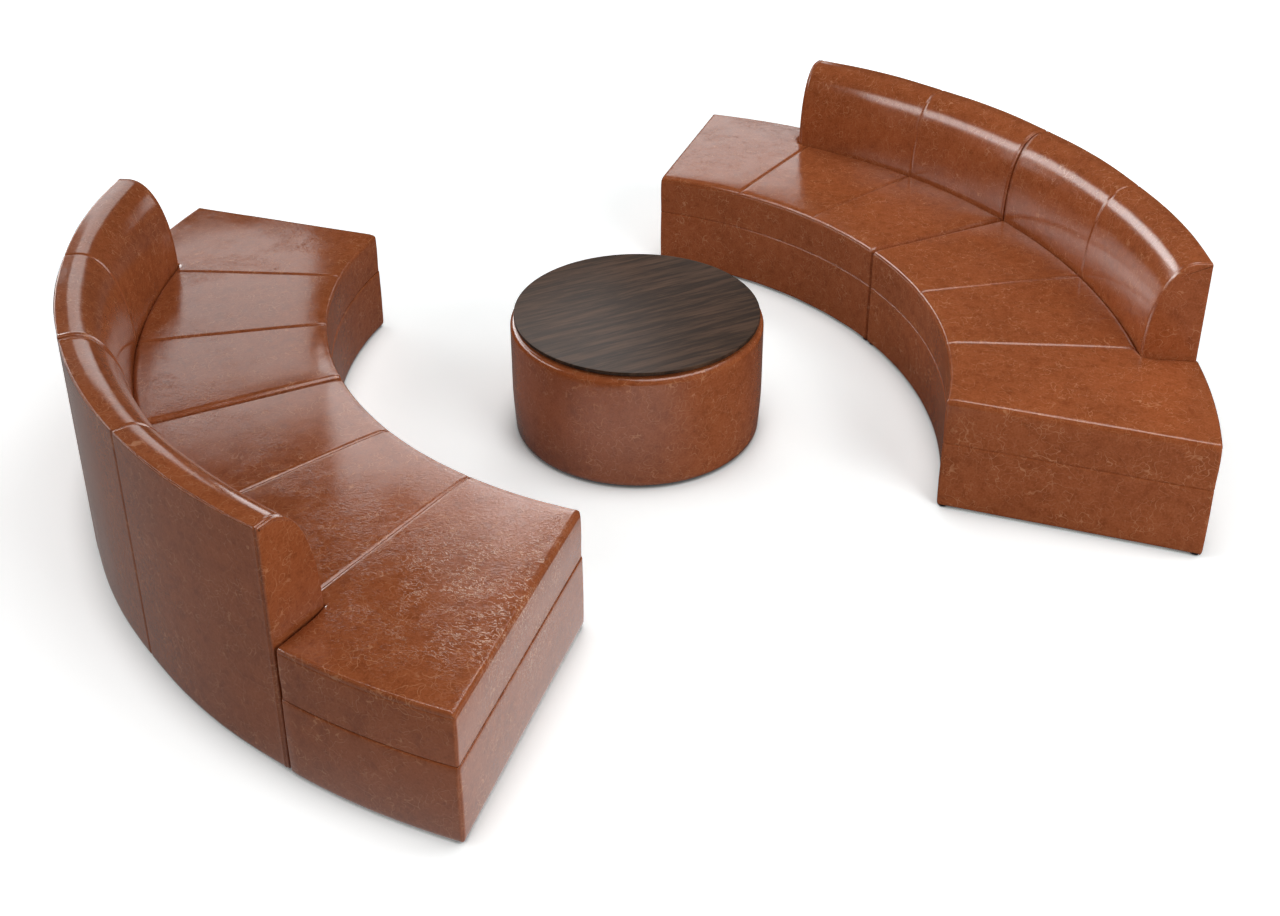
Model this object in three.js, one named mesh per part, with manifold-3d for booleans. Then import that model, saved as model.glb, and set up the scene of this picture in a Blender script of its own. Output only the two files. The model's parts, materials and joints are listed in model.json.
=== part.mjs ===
// A round lounge set: two curved sofas face each other round a drum ottoman with a wooden top.
// Each sofa is two mirrored modules, and each module is an upholstered bench whose back unit stands
// in a notch at its rear and stops short of the free end.
// Units are millimetres, +Z is up. The origin is on the floor midway between the sofas,
// and +X runs through the joint in the middle of each sofa.
import * as THREE from "three";
import { mergeVertices } from "three/addons/utils/BufferGeometryUtils.js";
import Module from "manifold-3d";

const wasm = await Module();
wasm.setup();

const degrees = THREE.MathUtils.degToRad;

// Plan of a module: a slice of a ring
const innerRadius = 1530;
const moduleDepth = 890;
const outerRadius = innerRadius + moduleDepth;
const moduleAngle = degrees(45);
const panelCount = 3;
const chordsPerPanel = 4;
const jointGap = 5; // between the covers of the two modules of a sofa
const arcShift = 389; // how far each sofa's arc centre lies beyond the middle of the set

// Heights of the bench
const footHeight = 10;
const seamHeight = 272; // the seam between the base cover and the seat cover
const seatHeight = 450;

// Seat upholstery
const coverThickness = 4; // leather with its lining
const seatPadding = 14; // wadding sewn under the seat's top panel
const seatEdgeRadius = 18;
const seatCrown = 9;
const seatCrownReach = 170; // from the edge to where the crown levels out
const seatSeamDepth = 4;
const seatSeamHalfWidth = 8;

// Back unit
const backAngle = degrees(31.5);
const backDepth = 195;
const backHeight = 832;
const backTopFlat = 35; // level strip behind the rolled front
const backRollPower = 2.2; // exponent of the superellipse that the front follows
const backPadding = 12; // wadding under the cover's front and top
const backEdgeRadius = 7;
const backSeamDepth = 3;
const backSeamHalfWidth = 7;
const backClearance = 8; // from the back unit's end to the side of the notch

// Carcasses
const fitGap = 0.3; // between pieces that touch
const boardThickness = 18;
const hemHeight = 2; // the base cover hangs this far below the boards
const baseBays = 6;
const deckThickness = 15;
const deckHoleRadius = 30;
const backBays = 4;
const backShelfDrop = 54; // from the seat's edge down to the top of the lower box, where the padding starts
const backShelfHeight = seatHeight - backShelfDrop;
const backPanelThickness = 45;
const backPanelDrop = 52; // from the top of the cover down to the panel's top
const backPanelTop = backHeight - backPanelDrop;
const backSkin = 9; // rear skin of the upper panel
const backRail = 60; // frame left round each window of the upper panel

// Feet and the plate that joins two modules
const footRadius = 15;
const footTread = 12;
const footBevel = 3;
const footInset = 20; // from the covers to a foot's axis, which stands under the boards' corner
const plateThickness = 3;
const plateLength = 140;
const plateHoleRadius = 4;
const plateHoleInset = 15; // from the plate's ends

// Ottoman
const ottomanX = -10;
const ottomanY = -85;
const ottomanRadius = 485;
const ottomanBodyTop = 465;
const ottomanShoulder = 26;
const ottomanHeel = 16; // how far the cover draws in at the floor
const ottomanHeelHeight = 90;
const ottomanPadding = 36;
const ottomanPaddingTop = 12;
const ottomanFootCount = 4;
const ottomanFootInset = 75;
const spacerRadius = 445;
const spacerThickness = 4;
const topRadius = 471;
const topThickness = 19;
const topEase = 2;
const topUndercut = 10;

// Drawing: facets and cutting overrun
const roundSides = 40;
const footSides = 12;
const holeSides = 12;
const rollSteps = 8;
const overrun = 20;

const leather = material("leather", 0x8a4527, 0.42, 0);
const foam = material("foam", 0xe6d9a8, 0.95, 0);
const plywood = material("plywood", 0xc9a876, 0.8, 0);
const black_plastic = material("black_plastic", 0x151515, 0.55, 0);
const steel = material("steel", 0x9a9da1, 0.4, 0.9);
const dark_wood = material("dark_wood", 0x3a2a20, 0.4, 0);

const panelAngle = moduleAngle / panelCount;
const stationAngle = panelAngle / chordsPerPanel;
const backRadius = outerRadius - backDepth;
const notchRadius = backRadius - fitGap;
const frameBottom = footHeight + hemHeight;
const frameInset = coverThickness + fitGap;
const deckTop = seamHeight - fitGap / 2;
const frameTop = deckTop - deckThickness - fitGap;

function material(name, color, roughness, metalness) {
  return new THREE.MeshStandardMaterial({ name, color, roughness, metalness });
}

// Arcs are drawn as chords from station to station. A point between two stations lies on the chord,
// so walls nested at different radii stay parallel and keep their clearance.
function onArc(radius, angle) {
  const station = Math.floor(angle / stationAngle + Number.EPSILON) * stationAngle;
  const fromMiddle = angle - station - stationAngle / 2;
  const reach = (radius * Math.cos(stationAngle / 2)) / Math.cos(fromMiddle);
  return new THREE.Vector2(reach * Math.cos(angle), reach * Math.sin(angle));
}

// A cut is a vertical plane parallel to the ray at its angle and moved sideways by its offset.
function cutAt(angle, offset = 0) {
  return { angle, offset };
}

function angleOn(cut, radius) {
  return cut.angle + Math.asin(cut.offset / radius);
}

// Points along an arc from one cut to another, with every station between them
function arc(radius, from, to) {
  const start = angleOn(from, radius);
  const end = angleOn(to, radius);
  const low = Math.min(start, end);
  const high = Math.max(start, end);
  const between = [];
  for (let k = Math.ceil(low / stationAngle); k * stationAngle < high; k++) {
    if (k * stationAngle > low) between.push(k * stationAngle);
  }
  if (start > end) between.reverse();
  return [start, ...between, end].map((angle) => onArc(radius, angle));
}

// The bench's outline, drawn in by an inset on every side
function benchOutline(inset) {
  const joint = cutAt(0, jointGap / 2 + inset);
  const freeEnd = cutAt(moduleAngle, -inset);
  const notchSide = cutAt(backAngle, backClearance + inset);
  return [
    ...arc(innerRadius + inset, joint, freeEnd),
    ...arc(outerRadius - inset, freeEnd, notchSide),
    ...arc(notchRadius - inset, notchSide, joint),
  ];
}

function prism(outline, bottom, top) {
  const shape = new THREE.Shape(outline);
  const settings = { depth: top - bottom, bevelEnabled: false };
  return new THREE.ExtrudeGeometry(shape, settings).translate(0, 0, bottom);
}

// Sweeps a closed outline round the sofa's centre, through cuts in rising order. profileAt(cut) gives
// its (radius, height) points at a cut: up the inner side, outward, and down the outer side.
function sweep(profileAt, cuts) {
  const loops = cuts.map((cut) =>
    profileAt(cut).map(([radius, height]) => {
      const point = onArc(radius, angleOn(cut, radius));
      return [point.x, point.y, height];
    }),
  );
  const count = loops[0].length;
  const positions = loops.flat(2);
  const faces = [];
  for (let i = 0; i + 1 < loops.length; i++) {
    for (let j = 0; j < count; j++) {
      const next = (j + 1) % count;
      const a = i * count + j;
      const b = i * count + next;
      faces.push(a, b, a + count, b, b + count, a + count);
    }
  }
  const flat = profileAt(cuts[0]).map(([radius, height]) => new THREE.Vector2(radius, height));
  const last = (loops.length - 1) * count;
  for (const [a, b, c] of THREE.ShapeUtils.triangulateShape(flat, [])) {
    faces.push(a, b, c, last + c, last + b, last + a);
  }
  return closedGeometry(positions, faces);
}

function closedGeometry(positions, faces) {
  const geometry = new THREE.BufferGeometry();
  geometry.setAttribute("position", new THREE.Float32BufferAttribute(positions, 3));
  geometry.setIndex(faces);
  geometry.computeVertexNormals();
  return geometry;
}

// A turned solid about the vertical axis, from (radius, height) points
function turned(points, sides) {
  const profile = points.map(([radius, height]) => new THREE.Vector2(radius, height));
  return new THREE.LatheGeometry(profile, sides).rotateX(Math.PI / 2);
}

function solidOf(geometry) {
  const bare = geometry.clone();
  bare.deleteAttribute("normal");
  bare.deleteAttribute("uv");
  const merged = mergeVertices(bare);
  const vertProperties = merged.attributes.position.array;
  const triVerts = new Uint32Array(merged.index.array);
  return new wasm.Manifold(new wasm.Mesh({ numProp: 3, vertProperties, triVerts }));
}

function geometryOf(solid) {
  const mesh = solid.getMesh();
  return closedGeometry(Array.from(mesh.vertProperties), Array.from(mesh.triVerts));
}

function cutAway(geometry, ...cutters) {
  const rest = cutters.reduce((solid, cutter) => solid.subtract(solidOf(cutter)), solidOf(geometry));
  return geometryOf(rest);
}

// A cutter for an upright round hole through a board of some thickness
function boring(radius, thickness) {
  return new THREE.CylinderGeometry(radius, radius, thickness + 2 * overrun, holeSides).rotateX(Math.PI / 2);
}

function meshOf(geometry, finish, name) {
  const mesh = new THREE.Mesh(geometry, finish);
  mesh.name = name;
  return mesh;
}

// Distances from an edge at which a rounded edge is drawn, as shares of its radius
const roundingShares = [0, 0.2, 0.55, 1];

function rounding(distance, radius) {
  if (distance >= radius) return 0;
  const across = radius - distance;
  return radius - Math.sqrt(radius * radius - across * across);
}

// Distance from a point of the seat to the nearest edge of its outline
function distanceToEdge(radius, angle) {
  const toJoint = radius * Math.sin(angle) - jointGap / 2;
  const toFreeEnd = radius * Math.sin(moduleAngle - angle);
  const pastSide = radius * Math.sin(angle - backAngle) - backClearance;
  const toNotchWall = notchRadius - radius;
  let toNotch = Math.hypot(Math.max(pastSide, 0), Math.max(toNotchWall, 0));
  if (pastSide <= 0) toNotch = toNotchWall;
  const distances = [radius - innerRadius, outerRadius - radius, toJoint, toFreeEnd, toNotch];
  return Math.max(0, Math.min(...distances));
}

function seatTopAt(radius, cut) {
  const distance = distanceToEdge(radius, angleOn(cut, radius));
  const rise = 1 - Math.min(distance / seatCrownReach, 1);
  const crown = seatCrown * (1 - rise * rise);
  const seam = cut.seam ? seatSeamDepth : 0;
  return seatHeight + crown - rounding(distance, seatEdgeRadius) - seam;
}

// Cuts across the seat, from the joint to the free end: close together at the edges and seams
function seatCuts() {
  const steps = roundingShares.map((share) => share * seatEdgeRadius);
  const cuts = steps.map((step) => cutAt(0, jointGap / 2 + step));
  for (let k = 1; k * stationAngle < moduleAngle - Number.EPSILON; k++) {
    const angle = k * stationAngle;
    if (k % chordsPerPanel === 0 && angle < moduleAngle) {
      cuts.push(cutAt(angle, -seatSeamHalfWidth));
      cuts.push({ angle, offset: 0, seam: true });
      cuts.push(cutAt(angle, seatSeamHalfWidth));
    } else if (angle < moduleAngle) {
      cuts.push(cutAt(angle));
    }
  }
  const notch = steps.map((step) => cutAt(backAngle, backClearance + step));
  const freeEnd = steps.map((step) => cutAt(moduleAngle, -step));
  const all = [...cuts, ...notch, ...freeEnd];
  return all.sort((a, b) => angleOn(a, outerRadius) - angleOn(b, outerRadius));
}

// Seat cover: a crowned top panel with rolled edges and sewn seams, its sides, and a hollow for the foam
function seatCoverGeometry() {
  const cuts = seatCuts();
  const steps = roundingShares.map((share) => share * seatEdgeRadius);
  const front = steps.map((step) => innerRadius + step);
  const rear = steps.map((step) => notchRadius - step).reverse();
  const outer = steps.map((step) => outerRadius - step).reverse();
  const frontCrown = innerRadius + seatCrownReach;
  const rearCrown = notchRadius - seatCrownReach;
  const radii = [...front, frontCrown, (frontCrown + rearCrown) / 2, rearCrown, ...rear, ...outer];
  const notchRow = radii.indexOf(notchRadius);
  const notchColumn = cuts.findIndex((cut) => cut.angle === backAngle && cut.offset === backClearance);
  const bottom = seamHeight + fitGap / 2;

  const inSeat = (i, j) => i >= notchColumn || j < notchRow; // is the cell above and right of node i, j there
  const positions = [];
  const index = new Map();
  const node = (i, j, level) => {
    const key = `${i},${j},${level}`;
    if (!index.has(key)) {
      const point = onArc(radii[j], angleOn(cuts[i], radii[j]));
      const height = level === "top" ? seatTopAt(radii[j], cuts[i]) : bottom;
      index.set(key, positions.length / 3);
      positions.push(point.x, point.y, height);
    }
    return index.get(key);
  };

  const faces = [];
  for (let i = 0; i + 1 < cuts.length; i++) {
    for (let j = 0; j + 1 < radii.length; j++) {
      if (!inSeat(i, j)) continue;
      const [a, b] = [node(i, j, "top"), node(i + 1, j, "top")];
      const [c, d] = [node(i, j + 1, "top"), node(i + 1, j + 1, "top")];
      faces.push(a, c, b, b, c, d);
    }
  }

  // The boundary runs along the front, the free end, the outer face, round the notch and down the joint
  const lastCut = cuts.length - 1;
  const lastRow = radii.length - 1;
  const loop = [];
  for (let i = 0; i < lastCut; i++) loop.push([i, 0]);
  for (let j = 0; j < lastRow; j++) loop.push([lastCut, j]);
  for (let i = lastCut; i > notchColumn; i--) loop.push([i, lastRow]);
  for (let j = lastRow; j > notchRow; j--) loop.push([notchColumn, j]);
  for (let i = notchColumn; i > 0; i--) loop.push([i, notchRow]);
  for (let j = notchRow; j > 0; j--) loop.push([0, j]);
  loop.forEach(([i, j], k) => {
    const [p, q] = loop[(k + 1) % loop.length];
    const [a, b] = [node(i, j, "top"), node(p, q, "top")];
    const [c, d] = [node(i, j, "foot"), node(p, q, "foot")];
    faces.push(a, b, c, c, b, d);
  });
  const outline = loop.map(([i, j]) => onArc(radii[j], angleOn(cuts[i], radii[j])));
  for (const triangle of THREE.ShapeUtils.triangulateShape(outline, [])) {
    const [a, b, c] = triangle.map((k) => node(...loop[k], "foot"));
    faces.push(a, c, b);
  }
  const body = closedGeometry(positions, faces);
  const hollow = prism(benchOutline(coverThickness), bottom - overrun, seatHeight - seatPadding);
  return cutAway(body, hollow);
}

function seatFoamGeometry() {
  const top = seatHeight - seatPadding - fitGap;
  return prism(benchOutline(frameInset), seamHeight + fitGap / 2, top);
}

function baseCoverGeometry() {
  const band = prism(benchOutline(0), footHeight, seamHeight - fitGap / 2);
  return cutAway(band, prism(benchOutline(coverThickness), footHeight - overrun, seamHeight + overrun));
}

// Bench carcass: a curved box of boards with radial ribs, open above and below
function baseFrameGeometry() {
  const inside = prism(benchOutline(frameInset + boardThickness), frameBottom - overrun, frameTop + overrun);
  const depth = outerRadius - innerRadius;
  const ribs = [];
  for (let k = 1; k < baseBays; k++) {
    const rib = new THREE.BoxGeometry(depth, boardThickness, frameTop - frameBottom + 4 * overrun);
    rib.translate(innerRadius + depth / 2, 0, (frameBottom + frameTop) / 2);
    ribs.push(rib.rotateZ((k * moduleAngle) / baseBays));
  }
  return cutAway(prism(benchOutline(frameInset), frameBottom, frameTop), cutAway(inside, ...ribs));
}

// Seat deck: a board on the carcass, with an air hole under each seat panel
function seatDeckGeometry() {
  const bottom = frameTop + fitGap;
  const middle = (innerRadius + backRadius) / 2;
  const holes = [];
  for (let k = 0; k < panelCount; k++) {
    const angle = (k + 1 / 2) * panelAngle;
    const hole = boring(deckHoleRadius, deckThickness);
    holes.push(hole.translate(middle * Math.cos(angle), middle * Math.sin(angle), bottom));
  }
  return cutAway(prism(benchOutline(frameInset), bottom, deckTop), ...holes);
}

// The rolled front of the back: a quarter of a superellipse from the seat line up to the level strip
function rolledFront(front, top) {
  const centre = outerRadius - backTopFlat;
  const points = [];
  for (let k = 0; k <= rollSteps; k++) {
    const turn = (k / rollSteps) * (Math.PI / 2);
    const out = (centre - front) * Math.cos(turn) ** (2 / backRollPower);
    const up = (top - seatHeight) * Math.sin(turn) ** (2 / backRollPower);
    points.push([centre - out, seatHeight + up]);
  }
  return points;
}

function backEnds(inset) {
  return [cutAt(0, jointGap / 2 + inset), cutAt(backAngle, -inset)];
}

// Cuts along a plain piece of the back: its two ends and the stations between them
function backCuts(inset) {
  const [start, end] = backEnds(inset);
  const cuts = [start];
  for (let k = 1; k * stationAngle < backAngle; k++) cuts.push(cutAt(k * stationAngle));
  return [...cuts, end];
}

// Back cover: drawn in at both ends and along its middle seam, hollow and open below
function backCoverGeometry() {
  const steps = roundingShares.map((share) => share * backEdgeRadius);
  const drawnIn = (step) => rounding(step, backEdgeRadius);
  const cuts = [
    ...steps.map((step) => ({ ...cutAt(0, jointGap / 2 + step), inset: drawnIn(step) })),
    ...backCuts(0)
      .slice(1, -1)
      .flatMap((cut) => {
        if (cut.angle !== panelAngle) return [{ ...cut, inset: 0 }];
        return [-backSeamHalfWidth, 0, backSeamHalfWidth].map((offset) => ({
          ...cutAt(panelAngle, offset),
          inset: offset === 0 ? backSeamDepth : 0,
        }));
      }),
    ...steps.map((step) => ({ ...cutAt(backAngle, -step), inset: drawnIn(step) })).reverse(),
  ];
  const skin = sweep(({ inset }) => {
    const rear = outerRadius - inset;
    const top = backHeight - inset;
    return [
      [backRadius + inset, footHeight],
      ...rolledFront(backRadius + inset, top),
      [rear - backEdgeRadius, top],
      [rear, top - backEdgeRadius],
      [rear, footHeight],
    ];
  }, cuts);
  const rearInside = outerRadius - coverThickness;
  const hollow = sweep(
    () => [
      [backRadius - overrun, footHeight - overrun],
      [backRadius - overrun, backShelfHeight + fitGap],
      [backRadius + backPadding, backShelfHeight + fitGap],
      ...rolledFront(backRadius + backPadding, backHeight - backPadding),
      [rearInside, backHeight - backPadding],
      [rearInside, footHeight - overrun],
    ],
    backCuts(coverThickness),
  );
  return cutAway(skin, hollow);
}

function backFoamGeometry() {
  const bottom = backShelfHeight + fitGap;
  const front = backRadius + backPadding + fitGap;
  const top = backHeight - backPadding - fitGap;
  const rear = outerRadius - frameInset;
  const panelFront = rear - backPanelThickness - fitGap;
  return sweep(
    () => [
      [front, bottom],
      ...rolledFront(front, top),
      [rear, top],
      [rear, backPanelTop + fitGap],
      [panelFront, backPanelTop + fitGap],
      [panelFront, bottom],
    ],
    backCuts(frameInset),
  );
}

// Back carcass: a ribbed box below the seat line and a thin panel above it, with windows in the panel's front
function backFrameGeometry() {
  const front = backRadius + fitGap;
  const rear = outerRadius - frameInset;
  const panelFront = rear - backPanelThickness;
  const body = sweep(
    () => [
      [front, frameBottom],
      [front, backShelfHeight],
      [panelFront, backShelfHeight],
      [panelFront, backPanelTop],
      [rear, backPanelTop],
      [rear, frameBottom],
    ],
    backCuts(frameInset),
  );
  const bayTop = backShelfHeight - boardThickness;
  const sill = backShelfHeight + backRail;
  const cutters = [];
  for (let k = 0; k < backBays; k++) {
    const bay = between(k, boardThickness);
    const window = between(k, backRail);
    cutters.push(
      block(front + boardThickness, rear - boardThickness, frameBottom - overrun, bayTop, bay),
      block(panelFront - overrun, rear - backSkin, sill, backPanelTop - backRail, window),
    );
  }
  return cutAway(body, ...cutters);
}

// The cuts round bay k of a back: half a rib is left between two bays and a whole one at each end
function between(k, rib) {
  const [start, end] = backEnds(frameInset + rib);
  const bayAngle = backAngle / backBays;
  const from = k === 0 ? start : cutAt(k * bayAngle, rib / 2);
  const to = k === backBays - 1 ? end : cutAt((k + 1) * bayAngle, -rib / 2);
  const cuts = [from];
  for (let s = 1; s * stationAngle < backAngle; s++) {
    const angle = s * stationAngle;
    if (angle > angleOn(from, backRadius) && angle < angleOn(to, backRadius)) cuts.push(cutAt(angle));
  }
  return [...cuts, to];
}

function block(inner, outer, bottom, top, cuts) {
  return sweep(
    () => [
      [inner, bottom],
      [inner, top],
      [outer, top],
      [outer, bottom],
    ],
    cuts,
  );
}

function footGeometry() {
  const top = frameBottom - fitGap;
  return turned(
    [
      [0, 0],
      [footTread, 0],
      [footRadius, footBevel],
      [footRadius, top],
      [0, top],
    ],
    footSides,
  );
}

// Where a module's four feet stand: near the corners of its plan, the last of them under the back unit
function footPlaces() {
  const joint = cutAt(0, jointGap / 2 + footInset);
  const freeEnd = cutAt(moduleAngle, -footInset);
  const inner = innerRadius + footInset;
  const outer = outerRadius - footInset;
  return {
    inner_joint: onArc(inner, angleOn(joint, inner)),
    inner_end: onArc(inner, angleOn(freeEnd, inner)),
    outer_end: onArc(outer, angleOn(freeEnd, outer)),
    outer_joint: onArc(outer, angleOn(joint, outer)),
  };
}

// Joining plate: screwed up through the hems into the end boards of both modules' carcasses
function joiningPlateGeometry() {
  const toBoard = jointGap / 2 + frameInset + boardThickness / 2;
  const plate = new THREE.BoxGeometry(plateLength, 2 * toBoard + boardThickness, plateThickness);
  const holes = [];
  for (const x of [-1, 1]) {
    for (const y of [-1, 1]) {
      const hole = boring(plateHoleRadius, plateThickness);
      holes.push(hole.translate(x * (plateLength / 2 - plateHoleInset), y * toBoard, 0));
    }
  }
  return cutAway(plate, ...holes);
}

function benchModule(name) {
  const module = new THREE.Group();
  const add = (geometry, finish, piece) => module.add(meshOf(geometry, finish, `${name}_${piece}`));
  add(baseFrameGeometry(), plywood, "base_frame");
  add(seatDeckGeometry(), plywood, "seat_deck");
  add(seatFoamGeometry(), foam, "seat_foam");
  add(seatCoverGeometry(), leather, "seat_cover");
  add(baseCoverGeometry(), leather, "base_cover");
  add(backFrameGeometry(), plywood, "back_frame");
  add(backFoamGeometry(), foam, "back_foam");
  add(backCoverGeometry(), leather, "back_cover");
  for (const [place, point] of Object.entries(footPlaces())) {
    add(footGeometry().translate(point.x, point.y, 0), black_plastic, `foot_${place}`);
  }
  return module;
}

// A sofa: the module on a sitter's right and its mirror image on the left, with the plate that joins them
function sofa(name) {
  const group = new THREE.Group();
  group.add(benchModule(`${name}_right`));
  const left = benchModule(`${name}_left`);
  left.scale.y = -1;
  group.add(left);
  const plate = meshOf(joiningPlateGeometry(), steel, `${name}_joining_plate`);
  plate.position.x = (innerRadius + backRadius) / 2;
  plate.position.z = footHeight - fitGap - plateThickness / 2;
  group.add(plate);
  group.position.x = -arcShift;
  return group;
}

// Ottoman cover: leather over the sides and top, with a soft shoulder and a drawn-in heel
function ottomanCoverGeometry() {
  const side = (inset) => {
    const radius = ottomanRadius - inset;
    const top = ottomanBodyTop - inset;
    const shoulder = ottomanShoulder - inset;
    const points = [
      [radius - ottomanHeel, footHeight],
      [radius - ottomanHeel / 4, footHeight + ottomanHeelHeight / 2],
      [radius, footHeight + ottomanHeelHeight],
    ];
    for (let k = 0; k <= 4; k++) {
      const turn = (k / 4) * (Math.PI / 2);
      points.push([radius - shoulder * (1 - Math.cos(turn)), top - shoulder * (1 - Math.sin(turn))]);
    }
    return [...points, [0, top]];
  };
  return turned([...side(coverThickness).reverse(), ...side(0)], roundSides);
}

// Ottoman padding: a foam sleeve and lid over the drum, which follow the inside of the cover
function ottomanPaddingGeometry() {
  const radius = ottomanRadius - coverThickness - fitGap;
  const top = ottomanBodyTop - coverThickness - fitGap;
  const shoulder = ottomanShoulder;
  const hollow = ottomanRadius - ottomanPadding;
  const hollowTop = ottomanBodyTop - coverThickness - ottomanPaddingTop;
  return turned(
    [
      [0, hollowTop],
      [hollow, hollowTop],
      [hollow, frameBottom],
      [radius - ottomanHeel, frameBottom],
      [radius, footHeight + ottomanHeelHeight],
      [radius, top - shoulder],
      [radius - shoulder / 4, top - shoulder / 4],
      [radius - shoulder, top],
      [0, top],
    ],
    roundSides,
  );
}

// Ottoman carcass: a drum of boards, open below
function ottomanFrameGeometry() {
  const radius = ottomanRadius - ottomanPadding - fitGap;
  const top = ottomanBodyTop - coverThickness - ottomanPaddingTop - fitGap;
  return turned(
    [
      [0, top - boardThickness],
      [radius - boardThickness, top - boardThickness],
      [radius - boardThickness, frameBottom + boardThickness],
      [radius - ottomanFootInset, frameBottom + boardThickness],
      [radius - ottomanFootInset, frameBottom],
      [radius, frameBottom],
      [radius, top],
      [0, top],
    ],
    roundSides,
  );
}

function spacerGeometry() {
  const bottom = ottomanBodyTop + fitGap;
  const top = bottom + spacerThickness;
  return turned(
    [
      [0, bottom],
      [spacerRadius, bottom],
      [spacerRadius, top],
      [0, top],
    ],
    roundSides,
  );
}

// Wooden top: eased above and undercut below, so that its edge looks thin
function woodenTopGeometry() {
  const bottom = ottomanBodyTop + spacerThickness + 2 * fitGap;
  const top = bottom + topThickness;
  return turned(
    [
      [0, bottom],
      [topRadius - topUndercut, bottom],
      [topRadius, bottom + topThickness / 3],
      [topRadius, top - topEase],
      [topRadius - topEase, top],
      [0, top],
    ],
    roundSides,
  );
}

function ottoman() {
  const group = new THREE.Group();
  group.add(meshOf(ottomanFrameGeometry(), plywood, "ottoman_frame"));
  group.add(meshOf(ottomanPaddingGeometry(), foam, "ottoman_padding"));
  group.add(meshOf(ottomanCoverGeometry(), leather, "ottoman_cover"));
  group.add(meshOf(spacerGeometry(), black_plastic, "ottoman_spacer"));
  group.add(meshOf(woodenTopGeometry(), dark_wood, "ottoman_top"));
  const reach = ottomanRadius - ottomanFootInset;
  for (let k = 0; k < ottomanFootCount; k++) {
    const angle = ((k + 1 / 2) * 2 * Math.PI) / ottomanFootCount;
    const foot = meshOf(footGeometry(), black_plastic, `ottoman_foot_${k + 1}`);
    foot.position.set(reach * Math.cos(angle), reach * Math.sin(angle), 0);
    group.add(foot);
  }
  group.position.set(ottomanX, ottomanY, 0);
  return group;
}

const set = new THREE.Group();
set.add(sofa("b"));
const facing = new THREE.Group();
facing.add(sofa("a"));
facing.rotation.z = Math.PI;
set.add(facing);
set.add(ottoman());

export default set;
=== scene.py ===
"""Looks of a round leather lounge set: two curved sofas round a drum ottoman with a dark wooden top."""

import json
import math

import bmesh
import bpy
from mathutils import Matrix, Vector, noise


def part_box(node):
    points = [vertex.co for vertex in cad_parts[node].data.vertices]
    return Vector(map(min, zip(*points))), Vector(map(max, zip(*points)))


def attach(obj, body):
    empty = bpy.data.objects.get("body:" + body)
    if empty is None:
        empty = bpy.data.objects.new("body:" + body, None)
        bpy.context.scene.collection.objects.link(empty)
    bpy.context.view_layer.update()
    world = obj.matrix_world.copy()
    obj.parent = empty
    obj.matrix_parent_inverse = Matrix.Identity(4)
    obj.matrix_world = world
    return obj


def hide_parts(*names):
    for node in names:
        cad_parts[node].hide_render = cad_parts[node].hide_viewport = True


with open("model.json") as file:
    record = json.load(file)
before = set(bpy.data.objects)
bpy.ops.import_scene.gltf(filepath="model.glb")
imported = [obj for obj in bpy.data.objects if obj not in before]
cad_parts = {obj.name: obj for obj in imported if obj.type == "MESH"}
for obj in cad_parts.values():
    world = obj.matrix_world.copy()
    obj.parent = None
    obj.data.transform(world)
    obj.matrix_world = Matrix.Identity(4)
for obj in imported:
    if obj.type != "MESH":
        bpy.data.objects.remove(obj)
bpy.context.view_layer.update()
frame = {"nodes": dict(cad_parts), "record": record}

# Plan of a module, a slice of a ring about its sofa's arc centre, in metres
INNER_RADIUS = 1.530
OUTER_RADIUS = 2.420
MODULE_ANGLE = math.radians(45)
PANEL_ANGLE = MODULE_ANGLE / 3
JOINT_GAP = 0.005
ARC_SHIFT = 0.389
BACK_ANGLE = math.radians(31.5)
BACK_DEPTH = 0.195
BACK_CLEARANCE = 0.003
WALL_RADIUS = OUTER_RADIUS - BACK_DEPTH - 0.0003

# Heights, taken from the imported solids
SEAM_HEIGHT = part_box("b_right_seat_cover")[0].z
BASE_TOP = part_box("b_right_base_cover")[1].z
HEM_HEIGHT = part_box("b_right_base_cover")[0].z
BACK_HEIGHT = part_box("b_right_back_cover")[1].z
SEAT_HEIGHT = 0.450

# Seat cushion
EDGE_ROLL = 0.007
INNER_ROLL = 0.032
END_ROLL = 0.016
JOINT_ROLL = 0.024
WALL_ROLL = 0.022
INNER_SINK = 0.006
SEAT_CROWN = 0.003
CROWN_REACH = 0.20
PANEL_PUFF = 0.0015
CHANNEL_DEPTH = 0.0045
CHANNEL_REACH = 0.012
CHANNEL_POWER = 1.7

# The ridge of the welt beside the seat's edges
WELT_HEIGHT = 0.0012
WELT_PLACE = 0.0062
WELT_REACH = 0.0030

# The roll toward the back is tighter round the corner of the notch
TIGHT_SHARE = 0.25
TIGHT_REACH = 0.05

# Sides: the groove of a sewn corner, and the least fall from one level to the next
CORNER_GROOVE = 0.0014
LEAST_FALL = 0.0002

# Distances from an edge or seam at which the leather is drawn, close together at first
EDGE_STEPS = (0, 0.0007, 0.0016, 0.0027, 0.004, 0.0055, 0.0075, 0.010, 0.013, 0.017, 0.022, 0.029, 0.038, 0.050)
SEAM_STEPS = (0.0012, 0.0026, 0.0042, 0.0065, 0.0095, 0.013, 0.019, 0.028)
PLAIN_STEP = 0.016


def smooth(value, low, high):
    """0 below low, 1 above high and an even slope between."""
    share = min(max((value - low) / (high - low), 0), 1)
    return share * share * (3 - 2 * share)


def bump(distance, reach):
    """A rounded ridge: 1 at no distance, 0 beyond its reach."""
    return (1 - (distance / reach) ** 2) ** 2 if abs(distance) < reach else 0


def roll_drop(distance, radius):
    """How far a rolled edge has dropped at a distance inside it."""
    if distance >= radius:
        return 0
    across = radius - max(distance, 0)
    return radius - math.sqrt(radius * radius - across * across)


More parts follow.
